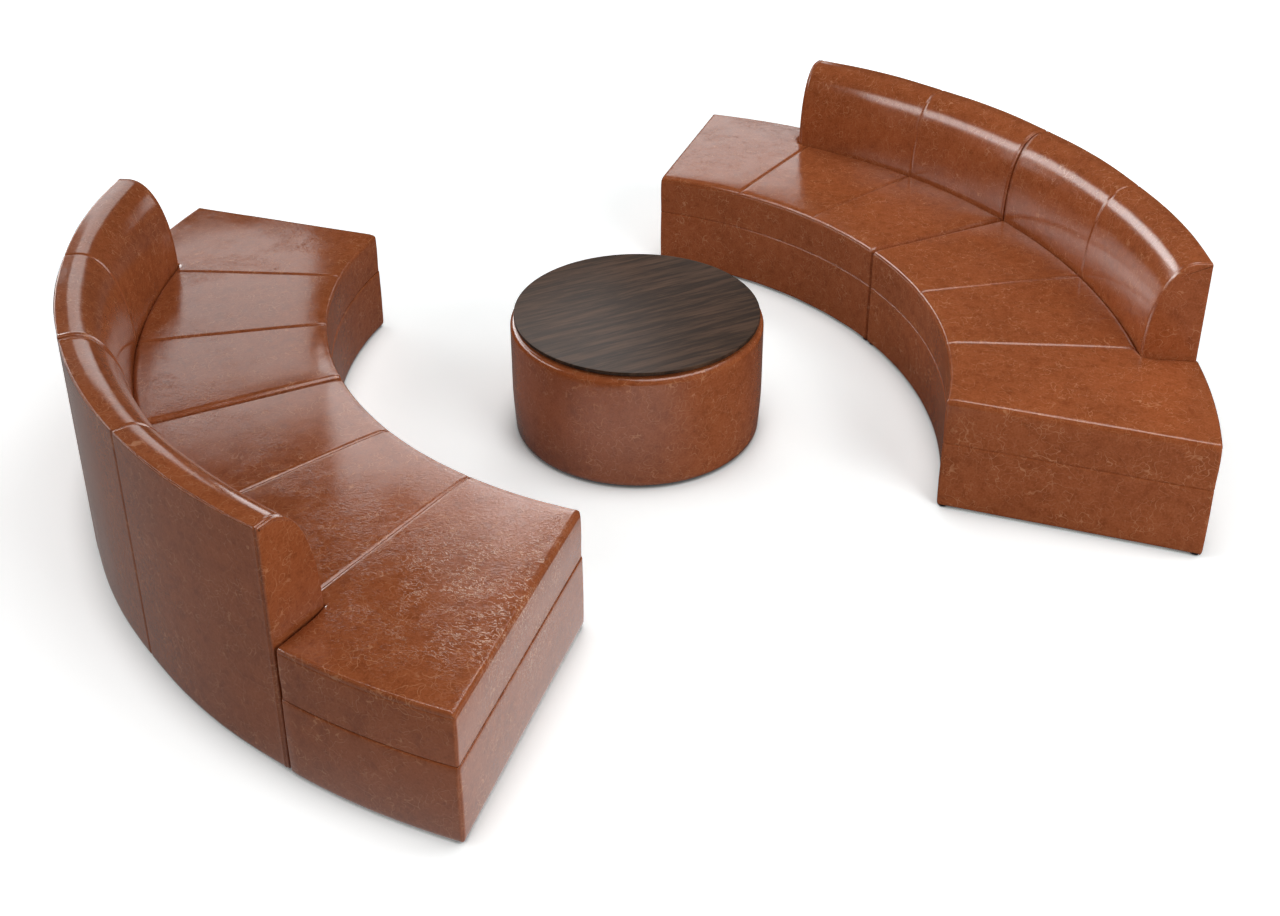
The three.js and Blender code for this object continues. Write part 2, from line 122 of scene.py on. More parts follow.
# Cuts: vertical planes parallel to the ray at an angle, moved sideways by an offset


def angle_on(cut, radius):
    angle, offset = cut
    return angle + math.asin(offset / radius)


def on_cut(cut, radius, height=0):
    angle = angle_on(cut, radius)
    return Vector((radius * math.cos(angle), radius * math.sin(angle), height))


def with_plain_cuts(cuts, first, last):
    """The given cuts, with plain ones about a step apart wherever there is room."""
    spacing = PLAIN_STEP / ((INNER_RADIUS + OUTER_RADIUS) / 2)
    room = spacing * 0.45
    plain = []
    for k in range(1, int((last - first) / spacing)):
        angle = first + k * spacing
        taken = (angle_on(cut, radius) for cut in cuts for radius in (INNER_RADIUS, OUTER_RADIUS))
        if all(abs(angle - other) > room for other in taken):
            plain.append((angle, 0))
    return sorted([*cuts, *plain], key=lambda cut: angle_on(cut, INNER_RADIUS))


def seam_cuts(angle):
    return [(angle, 0)] + [(angle, side * step) for step in SEAM_STEPS for side in (-1, 1)]


def with_plain_rows(rows):
    """Rows in rising order, with more put in where two lie over a step apart."""
    filled = [rows[0]]
    for row in rows[1:]:
        gap = row - filled[-1]
        count = max(1, round(gap / PLAIN_STEP))
        start = filled[-1]
        filled += [start + gap * k / count for k in range(1, count + 1)]
    return filled


def extruded(bm, edges):
    """Extrudes edges in place. Returns the new points and the new edges."""
    made = bmesh.ops.extrude_edge_only(bm, edges=edges)["geom"]
    verts = [item for item in made if isinstance(item, bmesh.types.BMVert)]
    return verts, [item for item in made if isinstance(item, bmesh.types.BMEdge)]


def sweep(bm, points, cuts, placed):
    """Draws a row of points at the first cut and extrudes it from cut to cut.

    placed(number, cut) gives the place of a point of the row at a cut.
    """
    tag = bm.verts.layers.int.new("row")
    row = []
    for number in range(len(points)):
        vert = bm.verts.new(placed(number, cuts[0]))
        vert[tag] = number
        row.append(vert)
    edges = [bm.edges.new(pair) for pair in zip(row, row[1:])]
    for cut in cuts[1:]:
        verts, edges = extruded(bm, edges)
        for vert in verts:
            vert.co = placed(vert[tag], cut)


# The edges of the bench's plan: each gives the distance of a point inside it and the way out


def inner_edge(radius, angle):
    return radius - INNER_RADIUS, Vector((-math.cos(angle), -math.sin(angle), 0))


def outer_edge(radius, angle):
    return OUTER_RADIUS - radius, Vector((math.cos(angle), math.sin(angle), 0))


def wall_edge(radius, angle):
    return WALL_RADIUS - radius, Vector((math.cos(angle), math.sin(angle), 0))


def joint_edge(radius, angle):
    return radius * math.sin(angle) - JOINT_GAP / 2, Vector((0, -1, 0))


def free_edge(radius, angle):
    away = Vector((-math.sin(MODULE_ANGLE), math.cos(MODULE_ANGLE), 0))
    return radius * math.sin(MODULE_ANGLE - angle), away


def notch_edge(radius, angle):
    away = Vector((math.sin(BACK_ANGLE), -math.cos(BACK_ANGLE), 0))
    return radius * math.sin(angle - BACK_ANGLE) - BACK_CLEARANCE, away


CORNERS = (
    (inner_edge, joint_edge, 0.010),
    (inner_edge, free_edge, 0.008),
    (outer_edge, free_edge, 0.008),
    (outer_edge, notch_edge, 0.017),
    (wall_edge, joint_edge, 0.010),
)


def notch_distance(radius, angle):
    """Distance from a point of the bench to the notch that the back stands in."""
    past = notch_edge(radius, angle)[0]
    short = wall_edge(radius, angle)[0]
    if past <= 0:
        return short
    return past if short <= 0 else math.hypot(past, short)


def seat_surface(radius, angle):
    """Height of the seat's top at a point of its plan."""
    from_corner = math.hypot(notch_edge(radius, angle)[0], wall_edge(radius, angle)[0])
    wall_roll = WALL_ROLL * (TIGHT_SHARE + (1 - TIGHT_SHARE) * smooth(from_corner, 0, TIGHT_REACH))
    rolls = (
        (inner_edge(radius, angle)[0], EDGE_ROLL),
        (outer_edge(radius, angle)[0], EDGE_ROLL),
        (free_edge(radius, angle)[0], END_ROLL),
        (joint_edge(radius, angle)[0], JOINT_ROLL),
        (notch_distance(radius, angle), wall_roll),
    )
    drop = sum(roll_drop(distance, roll) ** 3 for distance, roll in rolls) ** (1 / 3)
    nearest = min(distance for distance, roll in rolls)
    short = 1 - min(max(nearest, 0) / CROWN_REACH, 1)
    crown = SEAT_CROWN * (1 - short * short)
    across = (angle / PANEL_ANGLE) % 1
    puff = PANEL_PUFF * (1 - abs(2 * across - 1) ** 2.5) * smooth(nearest, 0, 0.08)
    off_seam = min(abs(radius * math.sin(angle - k * PANEL_ANGLE)) for k in (1, 2))
    channel = 0
    if off_seam < CHANNEL_REACH:
        channel = CHANNEL_DEPTH * (1 - off_seam / CHANNEL_REACH) ** CHANNEL_POWER
    channel *= smooth(nearest, -0.001, 0.012)
    welted = min(distance for distance, roll in rolls[:3])
    ridge = WELT_HEIGHT * bump(welted - WELT_PLACE, WELT_REACH)
    inward = 1 - min(max(inner_edge(radius, angle)[0], 0) / INNER_ROLL, 1)
    drop += INNER_SINK * inward * inward
    return SEAT_HEIGHT + crown + puff - drop - channel + ridge


def rounded_corner(radius, angle):
    """How far the plan's corner rounding moves a point."""
    move = Vector((0, 0, 0))
    for first, second, roll in CORNERS:
        (near_a, out_a), (near_b, out_b) = first(radius, angle), second(radius, angle)
        a, b = 1 - near_a / roll, 1 - near_b / roll
        if a <= 0 or b <= 0 or a > 1.01 or b > 1.01:
            continue
        move += out_a * roll * (a * math.sqrt(1 - b * b / 2) - a)
        move += out_b * roll * (b * math.sqrt(1 - a * a / 2) - b)
    return move


def polar(point):
    return math.hypot(point.x, point.y), math.atan2(point.y, point.x)


def bench_sheet(cuts, rows):
    """The bench's plan as a flat sheet, with the notch left out."""
    bm = bmesh.new()
    sweep(bm, rows, cuts, lambda number, cut: on_cut(cut, rows[number]))
    inside = []
    for face in bm.faces:
        radius, angle = polar(face.calc_center_median())
        if wall_edge(radius, angle)[0] < 0 and notch_edge(radius, angle)[0] < 0:
            inside.append(face)
    bmesh.ops.delete(bm, geom=inside, context="FACES")
    return bm


def is_corner(radius, angle):
    near = 1e-5
    return any(
        abs(first(radius, angle)[0]) < near and abs(second(radius, angle)[0]) < near for first, second, roll in CORNERS
    )


def mark_rim(bm):
    """Notes on each point of the sheet's rim where it stands, the way out and whether it is a corner."""
    foot = bm.verts.layers.float_vector.new("foot")
    out = bm.verts.layers.float_vector.new("out")
    corner = bm.verts.layers.float.new("corner")
    rim = [edge for edge in bm.edges if edge.is_boundary]
    for edge in rim:
        a, b = edge.verts
        along = (b.co - a.co).normalized()
        across = Vector((along.y, -along.x, 0))
        inward = edge.link_faces[0].calc_center_median() - a.co
        if across.dot(inward) > 0:
            across.negate()
        for vert in edge.verts:
            vert[out] = vert[out] + across
    for vert in {vert for edge in rim for vert in edge.verts}:
        radius, angle = polar(vert.co)
        vert[corner] = float(is_corner(radius, angle))
        vert[out] = vert[out].normalized()
    return rim


def hang_skirt(bm, rim, levels):
    """Extrudes the rim down through levels, each an outset and a height. Corners keep a sewn groove."""
    foot, out = bm.verts.layers.float_vector["foot"], bm.verts.layers.float_vector["out"]
    corner = bm.verts.layers.float["corner"]
    for number, (outset, height) in enumerate(levels):
        verts, rim = extruded(bm, rim)
        for vert in verts:
            top = vert[foot].z
            vert.co = vert[foot] + vert[out] * (outset - CORNER_GROOVE * vert[corner])
            vert.co.z = min(height, top - LEAST_FALL * (number + 1))
    return rim


def bench_cuts(steps, seams):
    joint = [(0, JOINT_GAP / 2 + step) for step in steps]
    notch = [(BACK_ANGLE, BACK_CLEARANCE + step) for step in steps[:9]]
    free = [(MODULE_ANGLE, -step) for step in steps]
    return [*joint, *seams, *notch, *free]


def seat_mesh():
    """Seat cushion: crowned top in three panels, rolled welted edges, and sides down to the mid seam."""
    seams = seam_cuts(PANEL_ANGLE) + seam_cuts(2 * PANEL_ANGLE)
    cuts = with_plain_cuts(bench_cuts(EDGE_STEPS, seams), 0, MODULE_ANGLE)
    rows = with_plain_rows(
        [INNER_RADIUS + step for step in EDGE_STEPS]
        + [WALL_RADIUS - step for step in reversed(EDGE_STEPS)]
        + [OUTER_RADIUS - step for step in reversed(EDGE_STEPS)]
    )
    bm = bench_sheet(cuts, rows)
    rim = mark_rim(bm)
    foot = bm.verts.layers.float_vector["foot"]
    for vert in bm.verts:
        radius, angle = polar(vert.co)
        vert.co += rounded_corner(radius, angle)
        vert.co.z = seat_surface(radius, angle)
        vert[foot] = vert.co
    top = SEAT_HEIGHT
    levels = [
        (0.0003, top - 0.0136),
        (0.0000, top - 0.0146),
        (-0.0006, top - 0.0154),
        (-0.0014, top - 0.0160),
        (-0.0006, top - 0.0168),
        (0.0002, top - 0.0180),
        (0.0008, top - 0.024),
        (0.0016, top - 0.040),
        (0.0024, top - 0.070),
        (0.0022, top - 0.105),
        (0.0012, top - 0.140),
        (0.0010, SEAM_HEIGHT + 0.0120),
        (0.0011, SEAM_HEIGHT + 0.0070),
        (0.0012, SEAM_HEIGHT + 0.0046),
        (0.0004, SEAM_HEIGHT + 0.0028),
        (-0.0022, SEAM_HEIGHT + 0.0012),
        (-0.0048, SEAM_HEIGHT),
    ]
    rim = hang_skirt(bm, rim, levels)
    bmesh.ops.triangle_fill(bm, edges=rim, use_beauty=True, use_dissolve=False)
    return bm


def base_mesh():
    """Base cover: a band round the carcass from the mid seam to a turned hem, with sewn corners."""
    cuts = with_plain_cuts(bench_cuts(EDGE_STEPS[:8], []), 0, MODULE_ANGLE)
    rows = with_plain_rows(
        [INNER_RADIUS + step for step in EDGE_STEPS[:8]]
        + [WALL_RADIUS]
        + [OUTER_RADIUS - step for step in reversed(EDGE_STEPS[:8])]
    )
    bm = bench_sheet(cuts, rows)
    rim = mark_rim(bm)
    foot = bm.verts.layers.float_vector["foot"]
    sheet = list(bm.faces)
    for vert in bm.verts:
        radius, angle = polar(vert.co)
        vert.co += rounded_corner(radius, angle)
        vert.co.z = BASE_TOP
        vert[foot] = vert.co
    span = BASE_TOP - HEM_HEIGHT
    levels = [
        (-0.0048, BASE_TOP - 0.0004),
        (-0.0016, BASE_TOP - 0.0014),
        (0.0002, BASE_TOP - 0.0030),
        (0.0008, BASE_TOP - 0.0060),
        (0.0010, BASE_TOP - 0.02),
        (0.0018, BASE_TOP - 0.3 * span),
        (0.0022, BASE_TOP - 0.55 * span),
        (0.0016, BASE_TOP - 0.8 * span),
        (0.0010, HEM_HEIGHT + 0.020),
        (0.0004, HEM_HEIGHT + 0.010),
        (-0.0008, HEM_HEIGHT + 0.0045),
        (-0.0028, HEM_HEIGHT + 0.0012),
        (-0.0060, HEM_HEIGHT),
    ]
    hang_skirt(bm, rim, levels)
    bmesh.ops.delete(bm, geom=sheet, context="FACES")
    return bm


# Back unit: the rolled front is part of a superellipse with this power
ROLL_POWER = 2.2
ROLL_TURNS = 48
TOP_FLAT = 0.035
BACK_CORNER = 0.005
CORNER_SEAM = 0.0012
END_PANEL_RIM = 0.004

# How the cover is drawn in: a rolled end, the groove and rise of its welt, and the middle seam
BACK_END_ROLL = 0.0055
GROOVE_DEPTH, GROOVE_PLACE, GROOVE_REACH = 0.0026, 0.0095, 0.0030
RISE_HEIGHT, RISE_PLACE, RISE_REACH = 0.0014, 0.0150, 0.0050
SEAM_DEPTH, SEAM_REACH = 0.0028, 0.009
BACK_PUFF, BACK_PUFF_REACH = 0.0030, 0.25


def back_profile():
    """(radius, height) points from the hem in front, over the roll, to the hem behind."""
    front, rear = OUTER_RADIUS - BACK_DEPTH, OUTER_RADIUS
    points = [(front + 0.004, HEM_HEIGHT)]
    points += [(front, height) for height in (HEM_HEIGHT + 0.004, 0.1, 0.2, 0.3, 0.36, 0.40, 0.43)]
    centre = rear - TOP_FLAT
    for k in range(ROLL_TURNS + 1):
        turn = k / ROLL_TURNS * math.pi / 2
        out = (centre - front) * math.cos(turn) ** (2 / ROLL_POWER)
        up = (BACK_HEIGHT - SEAT_HEIGHT) * math.sin(turn) ** (2 / ROLL_POWER)
        points.append((centre - out, SEAT_HEIGHT + up))
    points += [(rear - step, BACK_HEIGHT) for step in (0.026, 0.018, 0.012, 0.008)]
    corner = (rear - BACK_CORNER, BACK_HEIGHT - BACK_CORNER)
    for share in (0, 0.2, 0.4, 0.5, 0.6, 0.8, 1):
        turn = share * math.pi / 2
        reach = BACK_CORNER - (CORNER_SEAM if share == 0.5 else 0)
        points.append((corner[0] + reach * math.sin(turn), corner[1] + reach * math.cos(turn)))
    down = [0.008, 0.012, 0.018, 0.03]
    points += [(rear, BACK_HEIGHT - step) for step in down]
    rows = 36
    span = BACK_HEIGHT - down[-1] - HEM_HEIGHT - 0.02
    points += [(rear, BACK_HEIGHT - down[-1] - span * k / rows) for k in range(1, rows + 1)]
    points += [(rear - 0.0004, HEM_HEIGHT + 0.010), (rear - 0.0018, HEM_HEIGHT + 0.0035), (rear - 0.005, HEM_HEIGHT)]
    return points


def profile_normals(points):
    normals = []
    for k in range(len(points)):
        before, after = points[max(k - 1, 0)], points[min(k + 1, len(points) - 1)]
        along = Vector((after[0] - before[0], after[1] - before[1])).normalized()
        normals.append(Vector((-along.y, along.x)))
    return normals


def back_inset(cut):
    """How far the cover is drawn in at a cut: rounded welted ends, a sewn seam and a slight puff between."""
    middle = OUTER_RADIUS - BACK_DEPTH
    angle = angle_on(cut, middle)
    from_joint = middle * math.sin(angle) - JOINT_GAP / 2
    from_end = middle * math.sin(BACK_ANGLE - angle)
    near = max(min(from_joint, from_end), 0)
    seam = abs(middle * math.sin(angle - PANEL_ANGLE))
    inset = roll_drop(near, BACK_END_ROLL)
    inset += GROOVE_DEPTH * bump(near - GROOVE_PLACE, GROOVE_REACH)
    inset -= RISE_HEIGHT * bump(near - RISE_PLACE, RISE_REACH)
    inset += SEAM_DEPTH * bump(seam, SEAM_REACH)
    from_edge = min(from_joint, seam) if angle < PANEL_ANGLE else min(seam, from_end)
    return inset - BACK_PUFF * smooth(from_edge / BACK_PUFF_REACH, 0, 1)


def back_mesh():
    """Back cover: rolled front and top, sewn in the middle, with welted flat end panels, open below."""
    points = back_profile()
    normals = profile_normals(points)
    joint = [(0, JOINT_GAP / 2 + step) for step in EDGE_STEPS]
    end = [(BACK_ANGLE, -step) for step in EDGE_STEPS]
    cuts = with_plain_cuts([*joint, *seam_cuts(PANEL_ANGLE), *end], 0, BACK_ANGLE)

    def placed(number, cut):
        (radius, height), normal = points[number], normals[number]
        inset = back_inset(cut)
        return on_cut(cut, radius - normal.x * inset, height - normal.y * inset)

    bm = bmesh.new()
    sweep(bm, points, cuts, placed)
    row = bm.verts.layers.int["row"]
    bm.verts.index_update()
    for cut, way in ((cuts[0], -1), (cuts[-1], 1)):
        rim = [vert for vert in bm.verts if (vert.co - placed(vert[row], cut)).length < 1e-6]
        rim.sort(key=lambda vert: vert[row])
        edges = [edge for a, b in zip(rim, rim[1:]) for edge in a.link_edges if edge.other_vert(a) == b]
        ring = sorted(extruded(bm, edges)[0], key=lambda vert: vert[row])
        for vert in ring:
            (radius, height), normal = points[vert[row]], normals[vert[row]]
            inset = back_inset(cut) + END_PANEL_RIM
            vert.co = on_cut(cut, radius - normal.x * inset, max(height - normal.y * inset, HEM_HEIGHT))
        bm.faces.new(ring)
    return bm


# Ottoman
OTTOMAN_PLACE = (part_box("ottoman_cover")[0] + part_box("ottoman_cover")[1]) / 2
OTTOMAN_RADIUS = (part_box("ottoman_cover")[1].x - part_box("ottoman_cover")[0].x) / 2
OTTOMAN_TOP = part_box("ottoman_cover")[1].z
TURNS = 160


def spun(points):
    """A turned mesh about the ottoman's axis, from (radius, height) points."""
    bm = bmesh.new()
    verts = [bm.verts.new((radius, 0, height)) for radius, height in points]
    edges = [bm.edges.new(pair) for pair in zip(verts, verts[1:])]
    turn = {"cent": (0, 0, 0), "axis": (0, 0, 1), "angle": math.tau, "steps": TURNS}
    bmesh.ops.spin(bm, geom=verts + edges, **turn, use_merge=True, use_duplicate=False)
    bmesh.ops.remove_doubles(bm, verts=bm.verts, dist=1e-6)
    bmesh.ops.translate(bm, verts=bm.verts, vec=(OTTOMAN_PLACE.x, OTTOMAN_PLACE.y, 0))
    return bm


def ottoman_cover_mesh():
    radius = OTTOMAN_RADIUS
    points = [(radius - 0.030, HEM_HEIGHT), (radius - 0.020, HEM_HEIGHT + 0.0015)]
    heel, shoulder = 0.016, 0.024
    side = 30
    for k in range(side + 1):
        share = k / side
        height = HEM_HEIGHT + 0.006 + share * (OTTOMAN_TOP - shoulder - HEM_HEIGHT - 0.006)
        drawn = heel * (1 - smooth(share, -0.35, 0.42))
        points.append((radius - drawn, height))
    for k in range(1, 13):
        turn = k / 12 * math.pi / 2
        points.append((radius - shoulder * (1 - math.cos(turn)), OTTOMAN_TOP - shoulder * (1 - math.sin(turn))))
    points += [(radius - step, OTTOMAN_TOP) for step in (0.04, 0.08, 0.2)]
    points.append((0, OTTOMAN_TOP))
    return spun(points)


def wooden_top_mesh():
    low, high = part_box("ottoman_top")
    radius = (high.x - low.x) / 2
    ease = 0.0016
    points = [(0, low.z), (radius - 0.010, low.z), (radius - 0.001, low.z + 0.006), (radius, low.z + 0.007)]
    for k in range(5):
        turn = k / 4 * math.pi / 2
        points.append((radius - ease * (1 - math.cos(turn)), high.z - ease * (1 - math.sin(turn))))
    points += [(radius - 0.006, high.z), (radius - 0.02, high.z), (0, high.z)]
    return spun(points)


# Materials


class Socket:
    """A socket of a shader's nodes. Sums and products of sockets and numbers add Math nodes."""

    def __init__(self, shader, link):
        self.shader = shader
        self.link = link

    def math(self, operation, *values, clamp=False):
        settings = {"operation": operation, "use_clamp": clamp}
        return self.shader.node("ShaderNodeMath", settings, values)[0]

    def __add__(self, other):
        return self.math("ADD", self, other)

    __radd__ = __add__

    def __sub__(self, other):
        return self.math("SUBTRACT", self, other)

    def __rsub__(self, other):
        return self.math("SUBTRACT", other, self)

    def __mul__(self, other):
        return self.math("MULTIPLY", self, other)

    __rmul__ = __mul__

    def clamped(self):
        return self.math("ADD", self, 0, clamp=True)

    def between(self, low, high):
        """0 where the value is at low, 1 at high, with a smooth step between."""
        settings = {"interpolation_type": "SMOOTHSTEP"}
        return self.shader.node("ShaderNodeMapRange", settings, {"Value": self, "From Min": low, "From Max": high})[0]


class Shader:
    """The nodes of a material or of the world, under construction."""

    def __init__(self, owner, surface="Principled BSDF"):
        self.owner = owner
        owner.use_nodes = True
        self.tree = owner.node_tree
        self.surface = self.tree.nodes[surface]

    def node(self, kind, settings=None, values=None):
        """Adds a node, sets it, and gives its inputs values or links. Returns its outputs."""
        made = self.tree.nodes.new(kind)
        for key, value in (settings or {}).items():
            setattr(made, key, value)
        pairs = values.items() if isinstance(values, dict) else enumerate(values or ())
        for key, value in pairs:
            self.feed(made.inputs[key], value)
        return [Socket(self, output) for output in made.outputs if output.enabled]

    def feed(self, target, value):
        if isinstance(value, Socket):
            self.tree.links.new(value.link, target)
        elif isinstance(value, tuple) and target.type == "RGBA":
            target.default_value = (*value, 1)
        else:
            target.default_value = value

    def place(self, scale=(1, 1, 1)):
        """Object coordinates, stretched by a scale."""
        coordinates = self.node("ShaderNodeTexCoord")[3]
        return self.node("ShaderNodeMapping", {}, {"Vector": coordinates, "Scale": scale})[0]

    def distance(self, where, point):
        return self.node("ShaderNodeVectorMath", {"operation": "DISTANCE"}, {0: where, 1: point})[0]

    def noise(self, where, scale, detail=2.0, roughness=0.5):
        values = {"Vector": where, "Scale": scale, "Detail": detail, "Roughness": roughness}
        return self.node("ShaderNodeTexNoise", {}, values)[0]

    def warped(self, where, scale, amount):
        """Coordinates pushed about by noise."""
        values = {"Vector": where, "Scale": scale, "Detail": 2.0}
        push = self.node("ShaderNodeTexNoise", {}, values)[1]
        centred = self.node("ShaderNodeVectorMath", {"operation": "SUBTRACT"}, (push, (0.5, 0.5, 0.5)))[0]
        scaled = self.node("ShaderNodeVectorMath", {"operation": "SCALE"}, {0: centred, "Scale": amount})[0]
        return self.node("ShaderNodeVectorMath", {"operation": "ADD"}, (where, scaled))[0]

    def turned(self, where, rotation, scale):
        """Coordinates stretched and then turned."""
        return self.node("ShaderNodeMapping", {}, {"Vector": where, "Rotation": rotation, "Scale": scale})[0]

    def pillows(self, where, scale):
        """Low domes with narrow valleys between them, as creased leather has."""
        settings = {"feature": "DISTANCE_TO_EDGE"}
        distance = self.node("ShaderNodeTexVoronoi", settings, {"Vector": where, "Scale": scale})[0]
        return distance.between(0.0, 0.30)

    def veins(self, where, scale, width, detail=2.0):
        """Thin wandering lines, where a noise passes its middle value."""
        level = self.noise(where, scale, detail)
        away = (level - 0.5).math("ABSOLUTE", level - 0.5)
        return 1 - away.between(0.0, width)

    def patch(self, value, low, high, edge=0.7):
        """1 where the value lies from low to high, with narrow soft edges."""
        return value.between(low - edge, low + edge) * (1 - value.between(high - edge, high + edge))

    def mix(self, share, first, second):
        """A colour between two, by a share from 0 to 1."""
        made = self.tree.nodes.new("ShaderNodeMix")
        made.data_type = "RGBA"
        for index, value in ((0, share), (6, first), (7, second)):
            self.feed(made.inputs[index], value)
        return Socket(self, made.outputs[2])

    def bumped(self, height, distance, strength=1.0):
        values = {"Height": height, "Distance": distance, "Strength": strength}
        return self.node("ShaderNodeBump", {}, values)[0]

    def finish(self, **values):
        """Feeds the shader's own sockets, named with underscores for spaces."""
        for key, value in values.items():
            self.feed(self.surface.inputs[key.replace("_", " ")], value)
        return self.owner


# Leather colours: the hide, its mottling and specks, its pale hair marks, and a painted highlight for the crests
HIDE_DEEP, HIDE_WARM = (0.262, 0.068, 0.0215), (0.318, 0.084, 0.0270)
MOTTLE_LIGHT, MOTTLE_DARK = (0.365, 0.106, 0.037), (0.205, 0.049, 0.0145)
SPECK_LIGHT, SPECK_DARK = (0.400, 0.125, 0.047), (0.175, 0.040, 0.0115)
HAIR_TAN, CREST_PAINTED_HIGHLIGHT = (0.52, 0.225, 0.105), (0.78, 0.49, 0.32)

# Middle of the patch on the near left seat where the crests are raised more and their tops painted with a highlight
CREST_HIGHLIGHT_PLACE = (-1.06, -1.33, 0.45)
CREST_HIGHLIGHT_NEAR, CREST_HIGHLIGHT_FAR = 0.10, 0.46

# Seats are creased, and backs above them are smooth
SMOOTH_FROM, SMOOTH_ABOVE = 0.48, 0.60

CREST_SLANT = math.radians(44)
LEATHER_RELIEF = 0.00032


def leather_tone(s, where, stretched, crests_and_highlight):
    """The leather's colour, mottled, with pale hair marks that its gloss follows too, and painted crest highlights."""
    clouds = s.noise(where, 3.5, 4.0, 0.6)
    mottle = s.noise(where, 26.0, 5.0, 0.62)
    speckle = s.noise(where, 140.0, 3.0, 0.65)
    tone = s.mix(clouds.between(0.30, 0.70), HIDE_DEEP, HIDE_WARM)
    tone = s.mix(mottle.between(0.42, 0.70) * 0.5, tone, MOTTLE_LIGHT)
    tone = s.mix((0.5 - mottle).between(0.02, 0.20) * 0.5, tone, MOTTLE_DARK)
    tone = s.mix(speckle.between(0.50, 0.72) * 0.5, tone, SPECK_LIGHT)
    tone = s.mix((0.5 - speckle).between(0.0, 0.22) * 0.5, tone, SPECK_DARK)
    curled = s.warped(where, 16.0, 0.022)
    crossed = s.turned(curled, (0.6, 0.3, 1.1), (1, 1, 1))
    hairs = s.veins(curled, 18.0, 0.012, 1.0) + s.veins(crossed, 30.0, 0.014, 1.0)
    worn = s.noise(where, 11.0, 3.0, 0.6).between(0.36, 0.64)
    pale = hairs.clamped() * (worn * 0.60 + 0.08)
    tone = s.mix(pale, tone, HAIR_TAN)
    # Crest lines in the patch on the near left seat are painted pale as a highlight
    tone = s.mix(s.veins(stretched, 36.0, 0.028) * crests_and_highlight * 0.75, tone, CREST_PAINTED_HIGHLIGHT)
    return tone, mottle, pale


def leather_relief(s, where, stretched, crests_and_highlight):
    """The leather's height: soft folds in patches, fine slanting crests, pores and grain."""
    height = s.node("ShaderNodeSeparateXYZ", {}, (where,))[2]
    creased = s.noise(where, 3.2, 3.0, 0.6).between(0.42, 0.60)
    creased = creased * (1 - height.between(SMOOTH_FROM, SMOOTH_ABOVE)) * 0.92 + 0.08
    bent = s.turned(s.warped(where, 16.0, 0.05), (0, 0, math.radians(-20)), (1.0, 3.0, 1.5))
    folds = s.pillows(bent, 44.0)
    crests = s.veins(stretched, 36.0, 0.042)
    pores = s.pillows(s.warped(where, 40.0, 0.02), 150.0)
    grain = s.noise(where, 380.0, 2.0, 0.5)
    return folds * creased * 0.60 + crests * (creased * 0.30 + crests_and_highlight * 0.70) + pores * 0.15 + grain * 0.02


def leather_material():
    """Waxed leather: softly mottled, curved pale hair marks in patches, creases, fine grain, painted crest highlights.
    """
    s = Shader(bpy.data.materials.new("leather"))
    where = s.place()
    slanted = s.turned(s.warped(where, 22.0, 0.03), (0, 0, CREST_SLANT), (1, 1, 1))
    stretched = s.turned(slanted, (0, 0, 0), (1.0, 2.4, 1.5))
    # A patch of stronger crests, whose tops the tone paints with a highlight
    crests_and_highlight = 1 - s.distance(where, CREST_HIGHLIGHT_PLACE).between(CREST_HIGHLIGHT_NEAR, CREST_HIGHLIGHT_FAR)
    crests_and_highlight = crests_and_highlight * s.noise(where, 8.0).between(0.36, 0.56)
    tone, mottle, pale = leather_tone(s, where, stretched, crests_and_highlight)
    normal = s.bumped(leather_relief(s, where, stretched, crests_and_highlight), LEATHER_RELIEF)
    return s.finish(Base_Color=tone, Roughness=0.10 + mottle * 0.05 + pale * 0.12, Normal=normal)


# Wood colours, in the bands of its grain and in the lighter streaks
WOOD_DARK, WOOD_BROWN, WOOD_STREAK = (0.024, 0.014, 0.009), (0.078, 0.042, 0.026), (0.120, 0.064, 0.038)


def wood_material():
    """Dark open-grained wood with long bands and fine streaks."""
    s = Shader(bpy.data.materials.new("dark_wood"))
    along = s.turned(s.place(), (0, 0, math.radians(24)), (1, 14, 1))
    bent = s.warped(along, 1.5, 0.25)
    bands = s.noise(bent, 3.0, 5.0, 0.6)
    streaks = s.noise(bent, 9.0, 6.0, 0.7)
    tone = s.mix(bands.between(0.38, 0.70), WOOD_DARK, WOOD_BROWN)
    tone = s.mix(streaks.between(0.50, 0.75) * 0.6, tone, WOOD_STREAK)
    normal = s.bumped(streaks, 0.0003, 0.4)
    return s.finish(Base_Color=tone, Roughness=0.42, Specular_IOR_Level=0.08, Normal=normal)


def plain_material(name, color, roughness, metallic=0.0, scale=60.0):
    """A finish with fine mottling, for the pieces inside and underneath."""
    s = Shader(bpy.data.materials.new(name))
    speck = s.noise(s.place(), scale, 4.0, 0.6)
    dark = tuple(part * 0.72 for part in color)
    tone = s.mix(speck.between(0.35, 0.65), dark, color)
    normal = s.bumped(speck, 0.0006, 0.5)
    return s.finish(Base_Color=tone, Roughness=roughness + speck * 0.1, Normal=normal, Metallic=metallic)


def plywood_material():
    s = Shader(bpy.data.materials.new("plywood"))
    bent = s.warped(s.place((1, 1, 22)), 2.0, 0.2)
    grain = s.noise(bent, 6.0, 5.0, 0.65)
    tone = s.mix(grain.between(0.3, 0.7), (0.42, 0.27, 0.13), (0.62, 0.45, 0.26))
    return s.finish(Base_Color=tone, Roughness=0.7, Normal=s.bumped(grain, 0.0004, 0.5))


MATERIALS = {
    "leather": leather_material(),
    "dark_wood": wood_material(),
    "plywood": plywood_material(),
    "foam": plain_material("foam", (0.80, 0.70, 0.42), 0.9, scale=300.0),
    "black_plastic": plain_material("black_plastic", (0.012, 0.012, 0.012), 0.55),
    "steel": plain_material("steel", (0.45, 0.46, 0.48), 0.35, metallic=1.0),
}


# Assembly: how full the padding is, the thickness of the leather band, and the swells' scales and heights
FILL = 0.9
LEATHER_THICKNESS = 0.003
SWELLS = ((4.5, 0.0008), (17, 0.00025))


